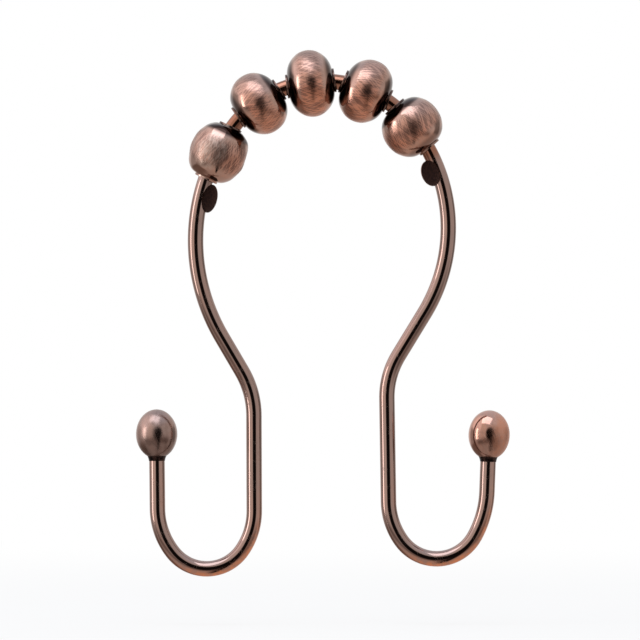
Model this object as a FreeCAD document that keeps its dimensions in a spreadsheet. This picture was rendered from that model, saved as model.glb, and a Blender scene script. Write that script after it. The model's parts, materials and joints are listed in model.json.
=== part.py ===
"""Double shower curtain hook: one bent wire with two pressed stop ears, five roller beads
threaded on its crown, and a ball on each of its two upturned tips.

Frame: +Z up, +X to the right seen from the front, +Y away from the viewer, along the rod.
The origin is the centre of the crown's arc, where the curtain rod lies under the beads.
All lengths are in millimetres and all angles in degrees.
"""
import FreeCAD, Part
import math
import os

import Sketcher

# driving sizes: (name, value, what it is)
WIRE_SIZES = [
    ("wire_diameter", 2.9, "round wire of the frame"),
    ("crown_radius", 20.7, "wire's centreline over the rod"),
    ("left_crown_angle", 52.9, "share of the crown's arc left of its top"),
    ("left_shoulder_radius", 35.2, "flatter bend below the crown"),
    ("left_shoulder_angle", 67.5, "turn of that bend"),
    ("left_flank_length", 7.3, "straight run towards the waist"),
    ("left_waist_radius", 16.5, "reverse bend at the waist"),
    ("left_waist_angle", 30.2, "turn of the waist bend"),
    ("left_leg_length", 17.6, "straight leg below the waist"),
    ("left_hook_inner_radius", 12.8, "hook's bend beside the leg"),
    ("left_hook_inner_angle", 34.6, "turn of that bend"),
    ("left_hook_seat_radius", 7.95, "hook's bottom, where the curtain's ring hangs"),
    ("left_hook_seat_angle", 106.8, "turn of the bottom"),
    ("left_hook_outer_radius", 13.2, "hook's bend below the tip"),
    ("left_hook_outer_angle", 38.2, "turn of that bend"),
    ("left_tip_length", 9.6, "bare straight wire below the end ball"),
    ("right_crown_angle", 48.6, "share of the crown's arc right of its top"),
    ("right_shoulder_radius", 30.4, "flatter bend below the crown"),
    ("right_shoulder_angle", 72.8, "turn of that bend"),
    ("right_flank_length", 9.1, "straight run towards the waist"),
    ("right_waist_radius", 14.8, "reverse bend at the waist"),
    ("right_waist_angle", 32.3, "turn of the waist bend"),
    ("right_leg_length", 19.1, "straight leg below the waist"),
    ("right_hook_inner_radius", 12.7, "hook's bend beside the leg"),
    ("right_hook_inner_angle", 35.1, "turn of that bend"),
    ("right_hook_seat_radius", 8.0, "hook's bottom, where the liner's ring hangs"),
    ("right_hook_seat_angle", 115.1, "turn of the bottom"),
    ("right_hook_outer_radius", 18.7, "hook's bend below the tip"),
    ("right_hook_outer_angle", 26.8, "turn of that bend"),
    ("right_tip_length", 6.2, "bare straight wire below the end ball"),
]

EAR_SIZES = [
    ("ear_thickness", 1.0, "flat that the press leaves, across the wire's plane"),
    ("left_ear_station", 33.7, "ear's middle, along the wire from the crown's top"),
    ("left_ear_length", 5.3, "ear along the wire"),
    ("left_ear_width", 2.8, "ear across the wire"),
    ("left_ear_reach", 1.67, "how far the ear stands out of the round wire"),
    ("right_ear_gap", 1.875, "bare wire between the last bead and the ear"),
    ("right_ear_length", 4.9, "ear along the wire"),
    ("right_ear_width", 3.4, "ear across the wire"),
    ("right_ear_reach", 1.72, "how far the ear stands out of the round wire"),
]

BALL_SIZES = [
    ("ball_diameter", 7.65, "end ball across the wire"),
    ("ball_height", 9.15, "end ball along the wire, if it were whole"),
    ("socket_depth", 3.5, "how far the wire's tip goes into the ball"),
]

BEAD_SIZES = [
    ("bead_bore_clearance", 0.38, "play that the bent wire leaves in a bead's straight bore"),
    ("bead_collar_wall", 0.225, "wall of the thin collar round each end of the bore"),
    ("bead_collar_length", 0.35, "length of that collar"),
    ("bead_fullness", 1.2, "radius over a bead's middle, in shares of a plain oval's there"),
    ("bead_crown_angle", 30.0, "half the turn of the arc over a bead's middle"),
]

# each bead, from the left: diameter, length along its bore, lean from the wire's run, and the
# least gap to what stands left of it, the left ear or the bead before
BEADS = [
    ("roller_bead_1", 10.55, 10.9, 2.2, 0.7),
    ("roller_bead_2", 11.9, 9.5, -1.2, 0.77),
    ("roller_bead_3", 12.4, 9.1, 1.2, 0.23),
    ("roller_bead_4", 12.0, 9.35, -1.2, 0.17),
    ("roller_bead_5", 11.3, 10.25, 1.8, 0.3),
]
BEAD_NAMES = [row[0] for row in BEADS]
SPACING_STEPS = 12

# the wire's run on each side, from the crown's top to the tip: (bend or run, turn)
# a turn of +1 bends the way the crown does, -1 the other way, 0 is straight
RUN = [
    ("crown", +1),
    ("shoulder", +1),
    ("flank", 0),
    ("waist", -1),
    ("leg", 0),
    ("hook_inner", -1),
    ("hook_seat", -1),
    ("hook_outer", -1),
    ("tip", 0),
]
SIDES = {"left": -1, "right": +1}

# indexes that a sketch gives to a curve's points, to its own origin and to its upright axis
START_INDEX, END_INDEX, CENTRE_INDEX = 1, 2, 3
ORIGIN_INDEXES = (-1, 1)
UPRIGHT_INDEX = -2

doc = FreeCAD.newDocument("curtain_hook")
sheet = doc.addObject("Spreadsheet::Sheet", "sizes")
sheet.Label = "sizes"


def fill_sheet():
    """Write every driving size into the sheet as a plain number with an alias."""
    rows = WIRE_SIZES + EAR_SIZES + BALL_SIZES + BEAD_SIZES
    for name, diameter, length, lean, gap in BEADS:
        rows = rows + [
            (name + "_diameter", diameter, "bead across its bore"),
            (name + "_length", length, "bead along its bore, collars included"),
            (name + "_lean", lean, "bead's tilt from the wire's run, which its loose bore allows"),
            (name + "_gap", gap, "least gap to what stands left of the bead"),
        ]
    for row, (name, value, note) in enumerate(rows, start=1):
        sheet.set("A%d" % row, name)
        sheet.set("B%d" % row, str(value))
        sheet.setAlias("B%d" % row, name)
        sheet.set("C%d" % row, note)
    doc.recompute()


def size(name):
    """The value of one cell of the sheet."""
    return float(sheet.get(name))


def cell(name):
    """The same cell, as an expression names it."""
    return "sizes." + name


def radius_name(side, piece):
    """The name of a bend's radius; both sides share the crown's."""
    return "crown_radius" if piece == "crown" else side + "_" + piece + "_radius"


def wire_run(side):
    """The wire's centreline on one side, in the XZ plane: a list of bends and runs.

    Each entry holds the piece's name, its turn, its start point, heading, length, and its
    radius and centre where it is a bend. Headings are in radians, anticlockwise from +X.
    """
    sign = SIDES[side]
    point = (0.0, size("crown_radius"))
    heading = 0.0 if sign > 0 else math.pi
    run = []
    for piece, turn in RUN:
        turn = -sign * turn
        if turn == 0:
            length = size(side + "_" + piece + "_length")
            if piece == "tip":
                length += size("socket_depth")
            entry = dict(piece=piece, turn=0, start=point, heading=heading, length=length)
            end = (point[0] + length * math.cos(heading), point[1] + length * math.sin(heading))
        else:
            radius = size(radius_name(side, piece))
            angle = math.radians(size(side + "_" + piece + "_angle"))
            centre = (
                point[0] - turn * radius * math.sin(heading),
                point[1] + turn * radius * math.cos(heading),
            )
            entry = dict(piece=piece, turn=turn, start=point, heading=heading,
                         length=radius * angle, radius=radius, centre=centre)
            heading += turn * angle
            end = (
                centre[0] + turn * radius * math.sin(heading),
                centre[1] - turn * radius * math.cos(heading),
            )
        entry["end"] = end
        run.append(entry)
        point = end
    return run


def wire_place(station):
    """Point and outward heading on the wire; a station left of the crown's top is negative."""
    side = "left" if station < 0 else "right"
    left = abs(station)
    for entry in wire_run(side):
        if left <= entry["length"]:
            break
        left -= entry["length"]
    heading = entry["heading"]
    if entry["turn"] == 0:
        x = entry["start"][0] + left * math.cos(heading)
        z = entry["start"][1] + left * math.sin(heading)
        return FreeCAD.Vector(x, 0, z), heading
    heading += entry["turn"] * left / entry["radius"]
    x = entry["centre"][0] + entry["turn"] * entry["radius"] * math.sin(heading)
    z = entry["centre"][1] - entry["turn"] * entry["radius"] * math.cos(heading)
    return FreeCAD.Vector(x, 0, z), heading


def origin_plane(body, role):
    """One of a body's own origin planes."""
    return [item for item in body.Origin.OriginFeatures if item.Role == role][0]


def new_sketch(body, name, role):
    """A sketch of a body, laid on one of its own origin planes."""
    sketch = body.newObject("Sketcher::SketchObject", name)
    sketch.AttachmentSupport = [(origin_plane(body, role), "")]
    sketch.MapMode = "FlatFace"
    return sketch


def bind(sketch, constraint, expression):
    """Add a sized constraint to a sketch and tie it to the sheet."""
    index = sketch.addConstraint(constraint)
    sketch.setExpression("Constraints[%d]" % index, expression)


def path_arc(entry):
    """A bend as a sketch arc, which always runs anticlockwise, with its two path ends."""
    centre = FreeCAD.Vector(entry["centre"][0], entry["centre"][1], 0)
    circle = Part.Circle(centre, FreeCAD.Vector(0, 0, 1), entry["radius"])
    first = math.atan2(entry["start"][1] - centre.y, entry["start"][0] - centre.x)
    last = math.atan2(entry["end"][1] - centre.y, entry["end"][0] - centre.x)
    if entry["turn"] > 0:
        return Part.ArcOfCircle(circle, first, last), START_INDEX, END_INDEX
    return Part.ArcOfCircle(circle, last, first), END_INDEX, START_INDEX


def draw_path(sketch, side):
    """The wire's centreline as tangent arcs and lines, each bound to its sizes."""
    before = None
    for index, entry in enumerate(wire_run(side)):
        piece = entry["piece"]
        if entry["turn"] == 0:
            start = FreeCAD.Vector(entry["start"][0], entry["start"][1], 0)
            end = FreeCAD.Vector(entry["end"][0], entry["end"][1], 0)
            shape, first, last = Part.LineSegment(start, end), START_INDEX, END_INDEX
        else:
            shape, first, last = path_arc(entry)
        sketch.addGeometry(shape, False)
        if before is None:
            sketch.addConstraint(Sketcher.Constraint("Coincident", index, CENTRE_INDEX, *ORIGIN_INDEXES))
            sketch.addConstraint(Sketcher.Constraint("PointOnObject", index, first, UPRIGHT_INDEX))
        else:
            sketch.addConstraint(Sketcher.Constraint("Tangent", index - 1, before, index, first))
        if entry["turn"] == 0:
            length = cell(side + "_" + piece + "_length")
            if piece == "tip":
                length = "(%s + %s)" % (length, cell("socket_depth"))
            bind(sketch, Sketcher.Constraint("Distance", index, entry["length"]), length + " * 1 mm")
        else:
            bind(sketch, Sketcher.Constraint("Radius", index, entry["radius"]),
                 cell(radius_name(side, piece)) + " * 1 mm")
            angle = side + "_" + piece + "_angle"
            bind(sketch, Sketcher.Constraint("Angle", index, math.radians(size(angle))),
                 cell(angle) + " * 1 deg")
        before = last


def draw_ellipse(sketch, length_name, width_name):
    """An ellipse about the sketch's origin, its long axis along the sketch's own X."""
    half_length = size(length_name) / 2
    half_width = size(width_name) / 2
    ellipse = Part.Ellipse(FreeCAD.Vector(half_length, 0, 0), FreeCAD.Vector(0, half_width, 0),
                           FreeCAD.Vector(0, 0, 0))
    index = sketch.addGeometry(ellipse, False)
    sketch.exposeInternalGeometry(index)
    long_axis, short_axis = index + 1, index + 2
    sketch.addConstraint(Sketcher.Constraint("Coincident", index, CENTRE_INDEX, *ORIGIN_INDEXES))
    sketch.addConstraint(Sketcher.Constraint("Horizontal", long_axis))
    bind(sketch, Sketcher.Constraint("Distance", long_axis, 2 * half_length),
         cell(length_name) + " * 1 mm")
    bind(sketch, Sketcher.Constraint("Distance", short_axis, 2 * half_width),
         cell(width_name) + " * 1 mm")


def ear_station(side):
    """An ear's middle along the wire: the left one is set, the right one closes the row."""
    if side == "left":
        return -size("left_ear_station")
    last = BEAD_NAMES[-1]
    row_end = bead_stations()[last] + size(last + "_length") / 2
    return row_end + size("right_ear_gap") + size("right_ear_length") / 2


def press_ear(body, side):
    """Flatten the wire's inner side and leave a thin ear there, which stops the last bead."""
    middle, heading = wire_place(ear_station(side))
    inward = (SIDES[side] * math.sin(heading), -SIDES[side] * math.cos(heading))
    edge = size("wire_diameter") / 2 + size(side + "_ear_reach")
    offset = edge - size(side + "_ear_width") / 2
    sketch = new_sketch(body, side + "_ear_outline", "XZ_Plane")
    sketch.AttachmentOffset = FreeCAD.Placement(
        FreeCAD.Vector(middle.x + offset * inward[0], middle.z + offset * inward[1], 0),
        FreeCAD.Rotation(FreeCAD.Vector(0, 0, 1), math.degrees(heading)),
    )
    draw_ellipse(sketch, side + "_ear_length", side + "_ear_width")
    doc.recompute()
    press = body.newObject("PartDesign::Pocket", side + "_ear_press")
    press.Profile = sketch
    press.SideType = "Symmetric"
    press.setExpression("Length", "2 * " + cell("wire_diameter") + " * 1 mm")
    doc.recompute()
    ear = body.newObject("PartDesign::Pad", side + "_ear")
    ear.Profile = sketch
    ear.SideType = "Symmetric"
    ear.setExpression("Length", cell("ear_thickness") + " * 1 mm")
    doc.recompute()


def make_wire_frame():
    """One wire, swept both ways from the crown's top, with its two pressed ears."""
    body = doc.addObject("PartDesign::Body", "wire_frame")
    body.Label = "wire_frame"
    section = new_sketch(body, "wire_section", "YZ_Plane")
    middle = FreeCAD.Vector(0, size("crown_radius"), 0)
    section.addGeometry(Part.Circle(middle, FreeCAD.Vector(0, 0, 1), size("wire_diameter") / 2))
    section.addConstraint(Sketcher.Constraint("PointOnObject", 0, CENTRE_INDEX, UPRIGHT_INDEX))
    bind(section, Sketcher.Constraint("DistanceY", *ORIGIN_INDEXES, 0, CENTRE_INDEX, middle.y),
         cell("crown_radius") + " * 1 mm")
    bind(section, Sketcher.Constraint("Diameter", 0, size("wire_diameter")),
         cell("wire_diameter") + " * 1 mm")
    for side in SIDES:
        path = new_sketch(body, side + "_path", "XZ_Plane")
        draw_path(path, side)
        doc.recompute()
        pipe = body.newObject("PartDesign::AdditivePipe", side + "_wire")
        pipe.Profile = section
        pipe.Spine = (path, [])
        doc.recompute()
    for side in SIDES:
        press_ear(body, side)
    return body


def bead_bore():
    """Diameter of the beads' bores: the longest bead still passes the bend of the crown."""
    longest = max(size(name + "_length") for name in BEAD_NAMES)
    sag = longest ** 2 / (8 * size("crown_radius"))
    return size("wire_diameter") + sag + size("bead_bore_clearance")


def bore_expression():
    """The same diameter as an expression over the sheet."""
    longest = "max(%s)" % "; ".join(cell(name + "_length") for name in BEAD_NAMES)
    sag = "%s ^ 2 / (8 * %s)" % (longest, cell("crown_radius"))
    return "(%s + %s + %s)" % (cell("wire_diameter"), sag, cell("bead_bore_clearance"))


def bead_collar():
    """Outer diameter of the collar round each end of the bore."""
    return bead_bore() + 2 * size("bead_collar_wall")


def collar_expression():
    """The same diameter as an expression over the sheet."""
    return "(%s + 2 * %s)" % (bore_expression(), cell("bead_collar_wall"))


def bead_reach(name):
    """Half the length of the oval whose flank meets the collar, were the oval whole."""
    flank = size(name + "_length") / 2 - size("bead_collar_length")
    share = bead_collar() / size(name + "_diameter")
    return flank / math.sqrt(1 - share ** 2)


def reach_expression(name):
    """The same length as an expression over the sheet."""
    flank = "(%s / 2 - %s)" % (cell(name + "_length"), cell("bead_collar_length"))
    share = "(%s / %s)" % (collar_expression(), cell(name + "_diameter"))
    return "(%s / sqrt(1 - %s ^ 2))" % (flank, share)


def draw_bead_outline(sketch, name):
    """Half of a bead's section over its bore: two collars, two flanks and the middle arc."""
    half = size(name + "_length") / 2
    top = size(name + "_diameter") / 2
    bore = bead_bore() / 2
    neck = bead_collar() / 2
    shoulder = half - size("bead_collar_length")
    turn = math.radians(size("bead_crown_angle"))
    middle_radius = size("bead_fullness") * bead_reach(name) ** 2 / top
    joint_x = middle_radius * math.sin(turn)
    joint_z = top - middle_radius + middle_radius * math.cos(turn)
    # the flank's arc leaves the middle arc tangent to it and ends on the collar
    across, down = shoulder - joint_x, neck - joint_z
    flank_radius = -(across ** 2 + down ** 2) / (
        2 * (across * math.sin(turn) + down * math.cos(turn))
    )
    flank_x = joint_x - flank_radius * math.sin(turn)
    flank_z = joint_z - flank_radius * math.cos(turn)
    collar_turn = math.atan2(neck - flank_z, shoulder - flank_x)
    up = FreeCAD.Vector(0, 0, 1)

    def line(x_from, z_from, x_to, z_to):
        start = FreeCAD.Vector(x_from, z_from, 0)
        return Part.LineSegment(start, FreeCAD.Vector(x_to, z_to, 0))

    def arc(x, z, radius, first, last):
        return Part.ArcOfCircle(Part.Circle(FreeCAD.Vector(x, z, 0), up, radius), first, last)

    square = math.pi / 2
    outline = [
        line(-half, bore, half, bore),
        line(half, bore, half, neck),
        line(half, neck, shoulder, neck),
        arc(flank_x, flank_z, flank_radius, collar_turn, square - turn),
        arc(0, top - middle_radius, middle_radius, square - turn, square + turn),
        arc(-flank_x, flank_z, flank_radius, square + turn, math.pi - collar_turn),
        line(-shoulder, neck, -half, neck),
        line(-half, neck, -half, bore),
    ]
    bore_line, right_face, right_collar, right_flank, middle, left_flank, left_collar, left_face = (
        range(len(outline))
    )
    sketch.addGeometry(outline, False)
    joined = [
        (bore_line, right_face), (right_face, right_collar), (right_collar, right_flank),
        (left_flank, left_collar), (left_collar, left_face), (left_face, bore_line),
    ]
    for first, second in joined:
        sketch.addConstraint(Sketcher.Constraint(
            "Coincident", first, END_INDEX, second, START_INDEX))
    for first, second in ((right_flank, middle), (middle, left_flank)):
        sketch.addConstraint(Sketcher.Constraint("Tangent", first, END_INDEX, second, START_INDEX))
    for level in (right_collar, left_collar):
        sketch.addConstraint(Sketcher.Constraint("Horizontal", level))
    for upright in (right_face, left_face):
        sketch.addConstraint(Sketcher.Constraint("Vertical", upright))
    sketch.addConstraint(Sketcher.Constraint(
        "Symmetric", bore_line, START_INDEX, bore_line, END_INDEX, UPRIGHT_INDEX))
    sketch.addConstraint(Sketcher.Constraint(
        "Symmetric", middle, START_INDEX, middle, END_INDEX, UPRIGHT_INDEX))
    return dict(bore=bore_line, face=right_face, collar=right_collar, middle=middle,
                other_collar=left_collar, half=half, shoulder=shoulder, neck=neck, top=top,
                bore_radius=bore, middle_radius=middle_radius, turn=turn)


def size_bead_outline(sketch, name, made):
    """Tie a bead's outline to the sheet."""
    bind(sketch, Sketcher.Constraint("Distance", made["bore"], 2 * made["half"]),
         cell(name + "_length") + " * 1 mm")
    bind(sketch, Sketcher.Constraint("DistanceY", *ORIGIN_INDEXES, made["bore"], START_INDEX,
                                     made["bore_radius"]),
         bore_expression() + " / 2 * 1 mm")
    for collar in (made["collar"], made["other_collar"]):
        bind(sketch, Sketcher.Constraint("Distance", collar, made["half"] - made["shoulder"]),
             cell("bead_collar_length") + " * 1 mm")
        bind(sketch, Sketcher.Constraint("DistanceY", *ORIGIN_INDEXES, collar, START_INDEX,
                                         made["neck"]),
             collar_expression() + " / 2 * 1 mm")
    radius = "%s * %s ^ 2 / (%s / 2)" % (
        cell("bead_fullness"), reach_expression(name), cell(name + "_diameter"))
    bind(sketch, Sketcher.Constraint("Radius", made["middle"], made["middle_radius"]),
         radius + " * 1 mm")
    bind(sketch, Sketcher.Constraint("Angle", made["middle"], 2 * made["turn"]),
         "2 * " + cell("bead_crown_angle") + " * 1 deg")
    bind(sketch, Sketcher.Constraint("DistanceY", *ORIGIN_INDEXES, made["middle"], CENTRE_INDEX,
                                     made["top"] - made["middle_radius"]),
         "(%s / 2 - %s) * 1 mm" % (cell(name + "_diameter"), radius))


def bead_pose(name, station):
    """A bead's middle and its bore's heading, the loose bore halfway between wire and chord."""
    half = size(name + "_length") / 2
    middle, start, end = [wire_place(station + step)[0] for step in (0, -half, half)]
    chord = end - start
    heading = math.atan2(chord.z, chord.x) + math.radians(size(name + "_lean"))
    return (middle * 2 + start + end) * 0.25, heading


def bead_half_width(name, turn):
    """Half a bead's width along a direction that is turned from its bore."""
    across = size(name + "_diameter") / 2
    along = size(name + "_length") / 2
    oval = math.hypot(bead_reach(name) * math.cos(turn), across * math.sin(turn))
    collar = along * abs(math.cos(turn)) + bead_collar() / 2 * abs(math.sin(turn))
    return max(oval, collar)


def station_after(before, station_before, name):
    """A bead's place along the wire that leaves its gap to the bead before it."""
    middle_before, heading_before = bead_pose(before, station_before)
    station = station_before + (size(before + "_length") + size(name + "_length")) / 2
    for _ in range(SPACING_STEPS):
        middle, heading = bead_pose(name, station)
        between = middle - middle_before
        direction = math.atan2(between.z, between.x)
        taken = bead_half_width(before, direction - heading_before)
        taken += bead_half_width(name, direction - heading)
        station += taken + size(name + "_gap") - between.Length
    return station


def bead_stations():
    """Each bead's place along the wire, the row threaded on from the left ear."""
    first = BEAD_NAMES[0]
    ear_end = ear_station("left") + size("left_ear_length") / 2
    stations = {first: ear_end + size(first + "_gap") + size(first + "_length") / 2}
    for before, name in zip(BEAD_NAMES, BEAD_NAMES[1:]):
        stations[name] = station_after(before, stations[before], name)
    return stations


def bead_placement(name):
    """Where a bead hangs on the wire."""
    middle, heading = bead_pose(name, bead_stations()[name])
    turn = FreeCAD.Rotation(FreeCAD.Vector(0, -1, 0), math.degrees(heading))
    return FreeCAD.Placement(middle, turn)


def make_roller_bead(name):
    """A solid bead turned about its bore, with a thin collar round each end of the bore."""
    body = doc.addObject("PartDesign::Body", name)
    body.Label = name
    sketch = new_sketch(body, name + "_outline", "XZ_Plane")
    made = draw_bead_outline(sketch, name)
    size_bead_outline(sketch, name, made)
    doc.recompute()
    turned = body.newObject("PartDesign::Revolution", name + "_turned")
    turned.Profile = sketch
    turned.ReferenceAxis = (sketch, ["H_Axis"])
    turned.Angle = 360.0
    doc.recompute()
    body.Placement = bead_placement(name)
    return body


def ball_joint_drop():
    """From a ball's middle down to the ring where the wire enters it."""
    share = size("wire_diameter") / size("ball_diameter")
    return size("ball_height") / 2 * math.sqrt(1 - share ** 2)


def make_end_ball(side):
    """An egg-shaped ball pressed on the wire's tip, with a blind socket for the wire."""
    name = "end_ball_" + side
    egg = doc.addObject("Part::Ellipsoid", name + "_egg")
    egg.setExpression("Radius1", cell("ball_height") + " / 2 * 1 mm")
    egg.setExpression("Radius2", cell("ball_diameter") + " / 2 * 1 mm")
    egg.setExpression("Radius3", cell("ball_diameter") + " / 2 * 1 mm")
    socket = doc.addObject("Part::Cylinder", name + "_socket")
    socket.setExpression("Radius", cell("wire_diameter") + " / 2 * 1 mm")
    below = size("ball_height")
    drop = "%s / 2 * sqrt(1 - (%s / %s) ^ 2)" % (
        cell("ball_height"), cell("wire_diameter"), cell("ball_diameter"))
    socket.Placement = FreeCAD.Placement(FreeCAD.Vector(0, 0, -below), FreeCAD.Rotation())
    socket.setExpression("Placement.Base.z", "-%s * 1 mm" % cell("ball_height"))
    socket.setExpression("Height", "(%s - %s + %s) * 1 mm" % (
        cell("ball_height"), drop, cell("socket_depth")))
    ball = doc.addObject("Part::Cut", name)
    ball.Label = name
    ball.Base = egg
    ball.Tool = socket
    tip = wire_run(side)[-1]
    along = size(side + "_tip_length") + ball_joint_drop()
    heading = tip["heading"]
    middle = FreeCAD.Vector(tip["start"][0] + along * math.cos(heading), 0,
                            tip["start"][1] + along * math.sin(heading))
    lean = 90.0 - math.degrees(heading) % 360.0
    ball.Placement = FreeCAD.Placement(middle, FreeCAD.Rotation(FreeCAD.Vector(0, 1, 0), lean))
    doc.recompute()
    return ball


def check_document():
    """Stop if any object of the document failed to recompute."""
    for item in doc.Objects:
        broken = [word for word in item.State if word in ("Invalid", "Error")]
        if broken:
            raise RuntimeError("%s is %s" % (item.Name, ", ".join(broken)))


def check_piece(piece):
    """Stop if a piece is not one valid solid."""
    shape = piece.Shape
    if shape.isNull() or not shape.isValid() or len(shape.Solids) != 1:
        raise RuntimeError("%s is not one valid solid" % piece.Label)


def main():
    fill_sheet()
    pieces = [make_wire_frame()]
    pieces += [make_roller_bead(name) for name in BEAD_NAMES]
    pieces += [make_end_ball(side) for side in SIDES]
    doc.recompute()
    check_document()
    for piece in pieces:
        check_piece(piece)
    os.makedirs("parts", exist_ok=True)
    for piece in pieces:
        piece.Shape.exportStep("parts/%s.step" % piece.Label)
        print("%-16s %9.2f mm3" % (piece.Label, piece.Shape.Volume))
    length = sum(entry["length"] for side in SIDES for entry in wire_run(side))
    swept = length * math.pi * size("wire_diameter") ** 2 / 4
    print("wire length %.1f mm, swept volume %.1f mm3" % (length, swept))


main()
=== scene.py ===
"""A double shower curtain hook with roller beads, dressed and lit in a plain studio.

The hook is one bent wire with two pressed ears, five roller beads on its crown and a ball on
each of its two upturned tips. X is to the right seen from the front, Y away from the viewer and
Z up; the origin is the centre of the crown. Lengths are in metres, and are written times MM.
"""
from collections import namedtuple
import json
import math

import bpy
from mathutils import Matrix, Vector


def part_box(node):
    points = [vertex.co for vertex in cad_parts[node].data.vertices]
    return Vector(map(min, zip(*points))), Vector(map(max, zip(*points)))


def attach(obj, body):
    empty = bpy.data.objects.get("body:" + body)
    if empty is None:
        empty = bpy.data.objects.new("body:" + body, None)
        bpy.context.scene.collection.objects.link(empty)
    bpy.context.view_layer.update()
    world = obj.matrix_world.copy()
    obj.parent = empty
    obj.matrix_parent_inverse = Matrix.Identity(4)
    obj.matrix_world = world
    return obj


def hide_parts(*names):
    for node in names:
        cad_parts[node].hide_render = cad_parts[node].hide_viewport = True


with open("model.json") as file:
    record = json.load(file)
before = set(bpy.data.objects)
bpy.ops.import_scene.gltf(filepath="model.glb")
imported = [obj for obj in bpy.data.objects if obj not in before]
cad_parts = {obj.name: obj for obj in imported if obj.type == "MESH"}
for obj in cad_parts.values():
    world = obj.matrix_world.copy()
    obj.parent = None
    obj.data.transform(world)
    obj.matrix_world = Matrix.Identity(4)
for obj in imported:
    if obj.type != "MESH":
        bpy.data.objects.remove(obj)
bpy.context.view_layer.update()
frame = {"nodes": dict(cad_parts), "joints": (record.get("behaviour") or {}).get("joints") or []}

bl_info = {
    "name": "Curtain Hook Studio",
    "version": (1, 0, 0),
    "blender": (4, 5, 0),
    "location": "3D View > Sidebar > Hook",
    "description": "Models a double curtain hook in antique copper and its plain studio",
    "category": "Add Mesh",
}

MM = 0.001

# the wire's run on each side, from the crown's top to the tip: a bend is (name, turn, radius,
# angle), where +1 turns the way the crown does, and a straight run is (name, 0, length, 0)
WIRE_RUN = {
    "left": [
        ("crown", +1, 20.7, 52.9),
        ("shoulder", +1, 35.2, 67.5),
        ("flank", 0, 7.3, 0),
        ("waist", -1, 16.5, 30.2),
        ("leg", 0, 17.6, 0),
        ("hook_inner", -1, 12.8, 34.6),
        ("hook_seat", -1, 7.95, 106.8),
        ("hook_outer", -1, 13.2, 38.2),
        ("tip", 0, 9.6, 0),
    ],
    "right": [
        ("crown", +1, 20.7, 48.6),
        ("shoulder", +1, 30.4, 72.8),
        ("flank", 0, 9.1, 0),
        ("waist", -1, 14.8, 32.3),
        ("leg", 0, 19.1, 0),
        ("hook_inner", -1, 12.7, 35.1),
        ("hook_seat", -1, 8.0, 115.1),
        ("hook_outer", -1, 18.7, 26.8),
        ("tip", 0, 6.2, 0),
    ],
}
SIDES = {"left": -1, "right": +1}

# each ear in millimetres: its place along the wire from the crown's top, its length along the
# wire, its width, and how far it reaches out of the wire
EARS = {
    "left": (33.7, 5.3, 2.8, 1.67),
    "right": (28.69, 4.9, 3.4, 1.72),
}

# each bead's own look: how brushed it is, how far the copper shows, how deep its dents are in
# millimetres, where its grain starts, and how dark the painted shade on its left and right necks is
BeadLook = namedtuple("BeadLook", "brushed worn dent grain left_neck right_neck")
BEAD_LOOKS = {
    "roller_bead_1": BeadLook(1.20, 0.45, 0.34, 11.0, 0.15, 1.50),
    "roller_bead_2": BeadLook(0.95, 0.80, 0.10, 23.0, 0.90, 1.50),
    "roller_bead_3": BeadLook(1.00, 0.90, 0.06, 37.0, 0.95, 0.95),
    "roller_bead_4": BeadLook(1.00, 0.90, 0.06, 53.0, 0.95, 0.90),
    "roller_bead_5": BeadLook(1.05, 0.70, 0.12, 71.0, 1.70, 0.55),
}
DULL_BEAD = "roller_bead_1"

# how finely the meshes are divided, and past which angles, in degrees, edges stay sharp
WIRE_POINTS = 48
EAR_POINTS = 72
BEAD_POINTS = 112
BALL_POINTS = 112
JOINT_POINTS = 64
FLANK_STEPS = 10
MIDDLE_STEPS = 18
BALL_STEPS = 44
JOINT_STEPS = 8
POLE_SHARE = 0.02
MERGE_DISTANCE = 0.002 * MM
WIRE_EDGE_ANGLE = 34
BEAD_EDGE_ANGLE = 38
JOINT_EDGE_ANGLE = 60

# the pressed ears: the cut is narrower than the ear by a spare, so that the two join cleanly,
# and each inset of a flat is (width in millimetres, share of the dish)
PRESS_SPARE = 0.02 * MM
EAR_INSETS = ((0.22, 0.25), (0.22, 0.35), (0.25, 0.40))
EAR_BEVEL_ANGLE = 50
FLAT_FACING = 0.9

# a point is on an ear inside these shares of its oval and of its thickness, and past the rim's
# share it looks pressed less
EAR_EDGE = 1.01
EAR_HALF_DEPTH = 0.52
EAR_RIM = 0.93
EAR_RIM_PRESSED = 0.35

# a run or bend of the wire reaches a little past its ends; a point beyond counts as far away
ENTRY_SLACK = 0.1 * MM
FAR_AWAY = 1.0

# a bead's middle arc: its radius in shares of a plain oval's, and half its angle
BEAD_FULLNESS = 1.2
HALF_CROWN = math.radians(30.0)
BEAD_BEVEL_ANGLE = 60

# a bead's masks: the rim of the painted highlight is this many roundings wide, and the belly
# fades and the painted shade of the neck rises between two shares of the bead's half length
RIM_WIDTH = 1.2
BELLY_FADE = (0.32, 0.64)
NECK_SHADE_RISE = (0.58, 0.76)

# the unevenness of beads, balls and fillets: how far from a bore it starts and is full, in
# shares of the bore, how wide and deep its swells are, and where its clouds start
SWELLS_FROM = 1.05
SWELLS_FULLY = 1.6
BEAD_SWELL_WIDTH = 3.2 * MM
BALL_SWELL_WIDTH = 2.6 * MM
BALL_SWELL_DEPTH = 0.05 * MM
BALL_GRAIN = {"left": 77.0, "right": 103.0}
LUMP_WIDTH = 0.7 * MM
LUMP_DEPTH = {"left": 0.05 * MM, "right": 0.16 * MM}
LUMP_GRAIN = {"left": 33.0, "right": 47.0}

# the fillet under an end ball: how far it starts below the ball's mouth and ends above it, in
# shares of its height, how far it stands out of the wire, and how it swells towards the ball
JOINT_HEIGHT = 1.0 * MM
JOINT_START = 0.75
JOINT_FOOT = 0.70
JOINT_END = 0.35
JOINT_SKIN = 0.05 * MM
JOINT_SWELL = 0.33 * MM
JOINT_FLARE = 1.6
JOINT_SMOOTH = 0.8
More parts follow.
